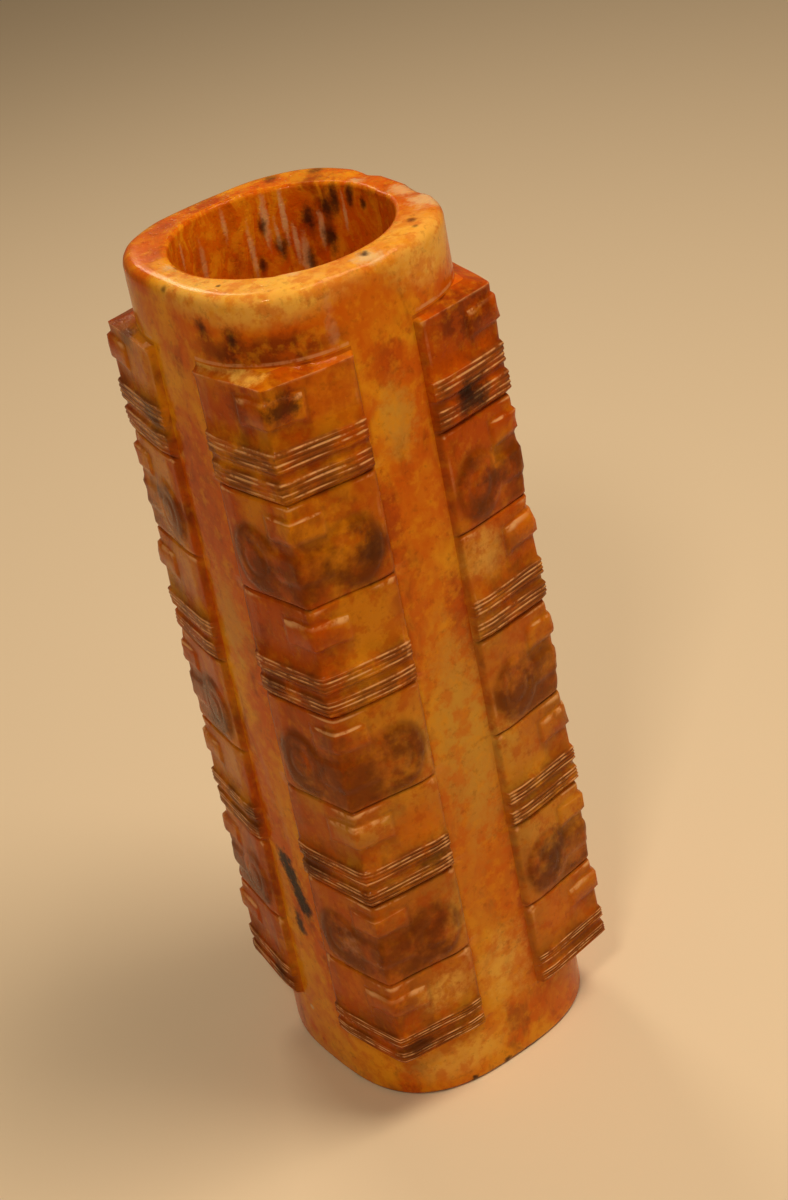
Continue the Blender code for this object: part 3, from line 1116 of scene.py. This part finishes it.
    def _surface(self) -> bpy.types.NodeTree:
        """The height of fine scratches, pits and the soft ripple of hand polishing.

        Returns:
            The group.
        """
        inputs = {"Place": "Vector", "Scratches": "Float", "Pits": "Float"}
        recipe, given, result = self._start("hand_polish", inputs, {"Height": "Float"})
        scratch = recipe.noise(recipe.stretched(given["Place"], (1.0, 1.0, 6.0)), 700.0, 2.0, 0.7)
        pit = recipe.between(recipe.noise(given["Place"], 900.0, 0.0, 0.5), 0.62, 0.72)
        ripple = recipe.noise(given["Place"], 160.0, 1.0, 0.5)
        height = recipe.math("MULTIPLY", scratch, given["Scratches"])
        height = recipe.math("SUBTRACT", height, recipe.math("MULTIPLY", pit, given["Pits"]))
        return recipe.give(result, Height=recipe.math("ADD", height, recipe.math("MULTIPLY", ripple, 0.6)))


WAXY_STONE = {
    "IOR": 1.55,
    "Subsurface Weight": 0.30,
    "Subsurface Radius": (1.0, 0.42, 0.12),
    "Subsurface Scale": 0.0020,
    "Coat Weight": 0.10,
    "Coat Roughness": 0.07,
    "Specular IOR Level": 0.07,
    "Specular Tint": (1.0, 0.56, 0.20, 1.0),
}


@dataclass(frozen=True)
class JadeFinish:
    """Amber jade, old and waxy: one finish of the stone."""

    name: str
    zone: Zone
    warmth: float
    depth: float
    fibre: float
    gloss: float
    scratches: float
    pits: float
    patches: tuple[Patch, ...] = ()
    golden: Shade = shade(230, 150, 22)
    orange: Shade = shade(208, 94, 1)
    deep: Shade = shade(132, 48, 1)
    # The dark colour of soil stain, also used for the painted shade on the channel walls.
    earth_and_shade: Shade = shade(56, 26, 6)
    dust: Shade = shade(142, 76, 28)
    brown: Shade = shade(112, 50, 4)
    # The pale colour laid over worn crests and over painted highlights.
    rubbed_and_glint: Shade = shade(232, 172, 112)

    def material(self, effects: JadeEffects, form: StoneForm, bore: BoreForm) -> bpy.types.Material:
        """Makes the finish.

        Args:
            effects: the node groups that the finishes share.
            form: the stone's outside, which places the patches there.
            bore: the bore, which places the patches in it.

        Returns:
            The material.
        """
        material = bpy.data.materials.new(self.name)
        material.use_nodes = True
        tree = material.node_tree
        recipe = Recipe(tree)
        shader = tree.nodes["Principled BSDF"]
        place = recipe.add("ShaderNodeTexCoord").outputs["Object"]
        jade = recipe.group(effects.clouding, {
            "Place": place, "Golden": self.golden, "Orange": self.orange, "Deep": self.deep,
            "Warmth": self.warmth, "Depth": self.depth, "Fibre": self.fibre})
        ragged = recipe.swirl(place, 360.0, 3.0, 0.75)
        patches = [(patch, {"Place": place, "Ragged": ragged, **patch.settings(self.zone, form, bore)})
                   for patch in self.patches]
        under = [pair for pair in patches if not pair[0].over_stain]
        over = [pair for pair in patches if pair[0].over_stain]
        colour = self._laid(recipe, effects.patch, jade.outputs["Colour"], under)
        mottle = recipe.group(effects.mottle, {
            "Colour": colour, "Place": place, "Golden": self.golden, "Rusty": self.orange, "Dark": self.deep})
        marks = {}
        for mark in Mark:
            attribute = recipe.add("ShaderNodeAttribute", attribute_name=mark.value)
            marks[mark.name.title()] = attribute.outputs["Fac"]
        stain = recipe.group(effects.stain, {
            "Colour": mottle.outputs["Colour"], "Place": place, "Earth_And_Shade": self.earth_and_shade,
            "Dust": self.dust, "Brown": self.brown, "Rubbed_And_Glint": self.rubbed_and_glint, **marks})
        colour = self._laid(recipe, effects.patch, stain.outputs["Colour"], over)
        polish = recipe.group(effects.surface, {
            "Place": place, "Scratches": self.scratches, "Pits": self.pits})
        bump = recipe.add("ShaderNodeBump", {"Height": polish.outputs["Height"], "Strength": 0.30,
                                             "Distance": 0.00018})
        rough = recipe.math("ADD", recipe.math("MULTIPLY", stain.outputs["Grime"], 0.30), self.gloss)
        for name, source in (("Base Color", colour), ("Roughness", rough),
                             ("Normal", bump.outputs["Normal"])):
            tree.links.new(source, shader.inputs[name])
        for name, value in WAXY_STONE.items():
            shader.inputs[name].default_value = value
        return material

    @staticmethod
    def _laid(recipe: Recipe, group: bpy.types.NodeTree, colour: Any,
              patches: list[tuple[Patch, dict[str, Any]]]) -> Any:
        """Lays patches over a colour, one after the other.

        Args:
            recipe: the material's own recipe.
            group: the node group of a patch's mask.
            colour: what they lie on.
            patches: each patch with the values for the group.

        Returns:
            The colour with all of them on it.
        """
        for patch, settings in patches:
            mask = recipe.group(group, settings).outputs["Mask"]
            colour = recipe.mix(mask, colour, patch.colour)
        return colour


UMBER = shade(50, 26, 16)
PITCH = shade(30, 20, 20)
REDDISH = shade(168, 62, 8)
MAHOGANY = shade(112, 42, 6)
AMBER = shade(214, 112, 10)
PALE_GOLD = shade(244, 190, 84)
OLIVE_GOLD = shade(208, 152, 56)
CREAM = shade(226, 186, 132)
BLUSH = shade(206, 146, 104)


def patch_rows(*rows: tuple[Any, ...]) -> tuple[Patch, ...]:
    """Patches from rows of turn, height, wide, tall and colour, then what isn't as usual."""
    return tuple(Patch(*row) for row in rows)


POLISHED = JadeFinish(
    name="polished_jade", zone=Zone.POLISHED, warmth=0.01, depth=0.0, fibre=0.25,
    gloss=0.20, scratches=0.4, pits=0.5,
    patches=patch_rows(
        (-75, 70, 28, 60, OLIVE_GOLD, 0.34, 0.7), (-135, 209, 22, 5.0, PALE_GOLD, 0.75, 0.5),
        (-62, 206, 12, 6.0, PALE_GOLD, 0.75, 0.5), (-135, 198, 16, 3.0, MAHOGANY, 0.75, 0.4),
        (-135, 193.5, 16, 1.0, AMBER, 0.8, 0.4), (-62, 193.5, 12, 1.0, AMBER, 0.6, 0.4),
        (-93, 200, 10, 6.0, AMBER), (-110, 200, 1.0, 5.5, BLUSH, 0.4),
        (-91, 188, 4.0, 5.0, REDDISH, 0.8, 0.5), (-91, 175, 4.0, 8.0, OLIVE_GOLD, 0.7),
        (-90, 150, 4.5, 10.0, AMBER, 0.7), (-102, 154, 2.4, 9.0, REDDISH, 0.8, 0.5),
        (-78, 122, 4.0, 12.0, REDDISH, 0.75, 0.5), (-87, 94, 7.5, 25.0, OLIVE_GOLD, 0.80, 0.5),
        (-83, 52, 5.0, 15.0, AMBER, 0.75, 0.5), (-74, 40, 2.2, 18.0, REDDISH, 0.7, 0.5),
        (-90, 28, 6.0, 9.0, PALE_GOLD), (-118, 9, 12, 5.0, PALE_GOLD), (179, 160, 5.0, 16.0, REDDISH, 0.55),
        (177, 88, 1.2, 9.0, BLUSH, 0.28), (183, 74, 1.0, 7.0, BLUSH, 0.25),
        (4, 158, 6.0, 13.0, OLIVE_GOLD, 0.7, 0.5), (-3, 96, 5.0, 17.0, REDDISH, 0.7),
        (2, 44, 6.0, 12.0, PALE_GOLD), (88, 126, 6.0, 15.0, OLIVE_GOLD, 0.75, 0.5),
        (92, 62, 5.0, 13.0, REDDISH, 0.7), (60, 200, 9.0, 5.0, MAHOGANY, 0.6, 0.5),
        (178, 128, 5.0, 11.0, OLIVE_GOLD), (-157, 202, 2.0, 2.8, MAHOGANY, 0.7),
        (-157, 203, 0.9, 1.5, UMBER, 0.75, 0.8), (-145, 201, 2.2, 2.6, MAHOGANY, 0.7),
        (-145, 201, 1.0, 1.6, UMBER, 0.85, 0.8), (-147, 197, 2.4, 2.4, MAHOGANY, 0.8),
        (-177, 209, 1.0, 0.9, UMBER, 0.7, 0.7), (-104, 193.6, 0.8, 0.7, UMBER, 0.9, 0.4, 33.4),
        (-120, 210, 1.4, 1.0, CREAM, 0.6, 0.6, 25.4), (170, 210, 1.6, 1.0, CREAM, 0.6, 0.6, 25.4),
        (-152, 210, 0.5, 1.0, UMBER, 0.8, 0.5, 27.5), (14, 210, 1.6, 1.0, CREAM, 0.6, 0.6, 25.6),
        (-87, 210, 2.6, 2.0, CREAM, 0.9, 0.5, 28.4), (-86, 210, 1.0, 1.0, UMBER, 0.85, 0.7, 26.8),
        (-32, 210, 4.0, 2.0, CREAM, 0.75, 0.5, 31.0), (-14, 210, 3.0, 2.0, CREAM, 0.60, 0.5, 28.0),
        (-52, 210, 0.9, 1.0, UMBER, 0.7, 0.8, 28.1), (-58, 210, 0.6, 1.0, UMBER, 0.6, 0.8, 30.0),
        (59, 210, 1.7, 1.0, UMBER, 0.7, 0.8, 29.0), (40, 210, 1.3, 1.0, UMBER, 0.6, 0.8, 31.0),
        (92, 210, 5.0, 2.0, REDDISH, 0.8, 0.5, 26.0), (120, 210, 4.0, 2.0, REDDISH, 0.5, 0.6, 28.0),
        (150, 210, 3.0, 2.0, REDDISH, 0.6, 0.6, 26.0), (-168, 210, 7.0, 3.0, PALE_GOLD, 0.5, 0.6, 28.0),
        (176, 62, 2.6, 3.0, PITCH, 0.95, 0.45), (178.667, 58, 2.6, 3.0, PITCH, 0.95, 0.45),
        (181.333, 54, 2.6, 3.0, PITCH, 0.95, 0.45), (184, 50, 2.6, 3.0, PITCH, 0.95, 0.45),
        (177, 43, 1.8, 3.4, PITCH, 0.9, 0.5), (-113, 1, 1.0, 0.8, UMBER, 0.9, 0.5),
        (-97, 1, 1.0, 0.8, UMBER, 0.9, 0.5), (170, 14, 0.7, 0.7, CREAM, 0.9, 0.5),
    ),
)
CARVED = JadeFinish(
    name="carved_jade", zone=Zone.CARVED, warmth=0.04, depth=0.03, fibre=0.12,
    gloss=0.23, scratches=0.7, pits=0.8,
    golden=shade(209, 126, 15), orange=shade(184, 76, 1),
    patches=patch_rows(
        (-85, 66, 34, 62, OLIVE_GOLD, 0.42, 0.7), (-131, 188.6, 3.6, 2.6, UMBER, 0.80, 0.5),
        (-146, 188, 3.2, 3.0, MAHOGANY, 0.6, 0.5), (-158, 184, 4.0, 6.0, REDDISH, 0.4),
        # The two pale gold strips at 194.2 mm, at turns -144 and -158, are painted light on the front ledge's
        # left half, which the collar shades.
        (-115, 188, 5.5, 5.0, AMBER, 0.7), (-144, 194.2, 5.0, 0.9, PALE_GOLD, 0.75, 0.4),
        (-158, 194.2, 5.0, 0.9, PALE_GOLD, 0.75, 0.4), (-56, 190, 8.0, 5.0, MAHOGANY, 0.75, 0.5),
        (-60, 172, 4.2, 3.8, UMBER, 0.85), (-61, 173, 1.8, 1.8, PITCH, 0.7),
        (-57, 151, 3.6, 3.0, UMBER, 0.55), (-112, 151, 3.4, 3.0, UMBER, 0.50),
        (-137, 109, 3.0, 2.6, UMBER, 0.35), (-114, 147, 5.5, 6.0, MAHOGANY),
        (-66, 136, 5.0, 5.0, PALE_GOLD, 0.55, 0.7), (-47, 137, 4.0, 4.0, AMBER, 0.8, 0.5),
        (-73, 88, 4.5, 6.0, OLIVE_GOLD, 0.7), (-133, 85, 7.0, 4.0, OLIVE_GOLD, 0.5),
        (-115, 80, 5.0, 5.0, AMBER, 0.7), (-158, 70, 5.0, 3.2, UMBER), (-113, 70, 3.4, 2.2, UMBER, 0.45),
        (-158, 120, 4.0, 3.0, UMBER, 0.45), (-147, 49, 2.6, 4.0, BLUSH, 0.65),
        (-120, 54, 6.0, 5.5, MAHOGANY, 0.65), (-59, 51, 4.0, 5.0, UMBER, 0.45),
        (-130, 21, 4.0, 2.0, UMBER, 0.65), (-118, 33, 6.0, 4.0, PALE_GOLD),
        (-106, 52, 3.0, 7.0, OLIVE_GOLD), (-112, 120, 5.0, 5.0, AMBER), (-104, 100, 3.0, 6.0, OLIVE_GOLD),
        (-152, 92, 5.0, 5.0, OLIVE_GOLD, 0.50), (-150, 36, 4.0, 5.0, AMBER),
        (-71, 118, 4.0, 4.0, OLIVE_GOLD), (-68, 62, 4.0, 4.0, OLIVE_GOLD, 0.50), (-62, 33, 5.0, 5.0, AMBER),
        (140, 128, 6.0, 6.0, OLIVE_GOLD), (38, 150, 7.0, 7.0, OLIVE_GOLD), (52, 84, 7.0, 9.0, AMBER),
        (-33, 60, 7.0, 8.0, OLIVE_GOLD, 0.50), (148, 193, 2.6, 3.0, UMBER),
        (158, 176, 3.0, 3.0, UMBER, 0.55), (156, 97, 3.0, 4.0, UMBER, 0.45),
        (162, 71, 3.0, 4.0, UMBER, 0.5), (155, 21, 3.0, 3.0, UMBER, 0.5),
    ),
)
BORED = JadeFinish(
    name="bored_jade", zone=Zone.BORED, warmth=0.06, depth=0.02, fibre=0.75,
    gloss=0.30, scratches=1.0, pits=1.0,
    patches=patch_rows(
        (124, 204, 0.5, 3.0, CREAM, 0.30, 0.7), (107, 199, 0.7, 4.0, CREAM, 0.32, 0.7),
        (89, 205, 0.5, 3.0, CREAM, 0.40, 0.7), (76, 197, 0.6, 5.0, CREAM, 0.50),
        (86, 194, 2.0, 5.0, REDDISH, 0.7), (44, 198, 4.0, 6.0, REDDISH), (66, 203, 0.8, 5.0, CREAM, 0.65),
        (61, 199, 0.5, 4.0, CREAM, 0.65, 0.5), (56, 203, 0.6, 6.0, CREAM, 0.70, 0.5),
        (52, 197, 0.6, 4.0, CREAM, 0.65, 0.5), (48, 193, 0.9, 5.0, CREAM, 0.60, 0.5),
        (37, 199, 0.7, 4.0, CREAM, 0.60, 0.5), (22, 203, 0.5, 4.0, CREAM, 0.55, 0.5),
        (96, 204, 6.0, 5.0, AMBER), (110, 200, 2.0, 6.0, REDDISH), (68, 202, 0.9, 1.8, UMBER, 0.85, 0.75),
        (43, 202, 1.2, 2.6, PITCH, 0.85, 0.75), (32, 204, 1.2, 3.2, PITCH, 0.85, 0.75),
        (27, 206, 1.0, 3.2, PITCH, 0.85, 0.75), (17, 207, 0.9, 2.4, PITCH, 0.85, 0.75),
        (8, 206, 0.8, 1.4, UMBER, 0.85, 0.75), (33, 197, 1.5, 2.6, PITCH, 0.85, 0.75),
        (46, 192, 0.9, 3.0, UMBER, 0.85, 0.75), (60, 196, 1.3, 2.6, UMBER, 0.85, 0.75),
        (72, 193, 0.8, 1.6, UMBER, 0.85, 0.75), (80, 189, 0.7, 1.4, UMBER, 0.85, 0.75),
    ),
)


@dataclass(frozen=True)
class FloorFinish:
    """A plain pale floor."""

    colour: Shade = shade(238, 218, 188)
    roughness: float = 0.75

    def material(self) -> bpy.types.Material:
        """Makes the floor's material.

        Returns:
            The material.
        """
        material = bpy.data.materials.new("pale_floor")
        material.use_nodes = True
        shader = material.node_tree.nodes["Principled BSDF"]
        shader.inputs["Base Color"].default_value = self.colour
        shader.inputs["Roughness"].default_value = self.roughness
        return material


STONE_MIDDLE = Vector((0.0, 0.0, 0.1))


@dataclass(frozen=True)
class Lamp:
    """A soft square lamp that faces the stone: its place, the length of its side and its watts."""

    name: str
    place: Triple
    side: float
    power: float
    colour: Triple

    def hang(self) -> None:
        """Hangs the lamp in its place."""
        data = bpy.data.lights.new(self.name, "AREA")
        data.size, data.energy, data.color = self.side, self.power, self.colour
        lamp = bpy.data.objects.new(self.name, data)
        lamp.location = self.place
        lamp.rotation_euler = (STONE_MIDDLE - Vector(self.place)).to_track_quat("-Z", "Y").to_euler()
        bpy.context.scene.collection.objects.link(lamp)


@dataclass
class Studio:
    """The floor, the soft light and the camera at the photo's viewing angle."""

    floor_half: float = 3.0
    azimuth: float = math.radians(-31.98)
    elevation: float = math.radians(31.124)
    roll: float = math.radians(11.117)
    aim: Triple = (0.00700, -0.00437, 0.11666)
    distance: float = 0.5115
    lens: float = 67.47
    frame_side: float = 36.0
    room_colour: Triple = (1.0, 0.80, 0.56)
    room_strength: float = 0.14
    lamps: tuple[Lamp, ...] = (
        Lamp("broad_lamp", (0.28, -0.24, 0.88), 0.36, 4.8, (1.0, 0.83, 0.62)),
        Lamp("near_lamp", (-0.34, -0.34, 0.66), 0.10, 1.4, (1.0, 0.86, 0.66)),
        Lamp("rear_lamp", (0.15, 0.55, 0.60), 0.20, 1.1, (1.0, 0.84, 0.64)),
    )

    def floor(self) -> bpy.types.Object:
        """Lays the floor under the stone.

        Returns:
            The floor.
        """
        half = self.floor_half
        corners = [(-half, -half, 0), (half, -half, 0), (half, half, 0), (-half, half, 0)]
        mesh = bpy.data.meshes.new("floor")
        mesh.from_pydata(corners, [], [(0, 1, 2, 3)])
        mesh.materials.append(FloorFinish().material())
        floor = bpy.data.objects.new("floor", mesh)
        bpy.context.scene.collection.objects.link(floor)
        return floor

    def camera(self) -> None:
        """Sets the camera up and makes it the scene's own."""
        back = Vector((math.sin(self.azimuth) * math.cos(self.elevation),
                       -math.cos(self.azimuth) * math.cos(self.elevation), math.sin(self.elevation)))
        level = (-back).cross(Vector((0.0, 0.0, 1.0))).normalized()
        upright = level.cross(-back).normalized()
        up = math.cos(self.roll) * upright + math.sin(self.roll) * level
        right = math.cos(self.roll) * level - math.sin(self.roll) * upright
        turn = Matrix((right, up, back)).transposed().to_4x4()
        data = bpy.data.cameras.new("view")
        data.lens = self.lens
        data.sensor_width = self.frame_side
        data.clip_start = 0.01
        camera = bpy.data.objects.new("view", data)
        camera.matrix_world = Matrix.Translation(Vector(self.aim) + back * self.distance) @ turn
        bpy.context.scene.collection.objects.link(camera)
        bpy.context.scene.camera = camera

    def light(self) -> None:
        """Lights the room evenly, and hangs a broad lamp high on the right, a near one and one behind."""
        world = bpy.data.worlds.new("room")
        world.use_nodes = True
        background = world.node_tree.nodes["Background"]
        background.inputs["Color"].default_value = (*self.room_colour, 1.0)
        background.inputs["Strength"].default_value = self.room_strength
        bpy.context.scene.world = world
        for lamp in self.lamps:
            lamp.hang()


def dress(stone: bpy.types.Object, form: StoneForm, bore: BoreForm) -> None:
    """Gives the stone its finishes, in the order of their zones, and its place in the frame.

    Args:
        stone: the stone's mesh object.
        form: the stone's outside, which places the patches there.
        bore: the bore, which places the patches in it.
    """
    effects = JadeEffects()
    for finish in (POLISHED, CARVED, BORED):
        stone.data.materials.append(finish.material(effects, form, bore))
    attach(stone, "root")
    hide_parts("jade_cong")


def main() -> None:
    """Builds the stone and the studio, and reports each piece."""
    logging.basicConfig(level=logging.INFO, format="%(name)s: %(message)s")
    bpy.context.scene.view_settings.view_transform = "Standard"
    form = StoneForm()
    carving = CornerCarving(foot=form.foot_collar, face_length=form.face_length)
    bore = BoreForm()
    stone = JadeStone(form, carving, bore, Weathering()).build()
    dress(stone, form, bore)
    triangles = sum(len(face.vertices) - 2 for face in stone.data.polygons)
    LOG.info("stone: %d points, %d triangles", len(stone.data.vertices), triangles)
    studio = Studio()
    floor = studio.floor()
    LOG.info("floor: %.1f m a side", 2 * studio.floor_half)
    studio.camera()
    studio.light()
    LOG.info("camera and lamps are set")


if __name__ == "__main__":
    main()
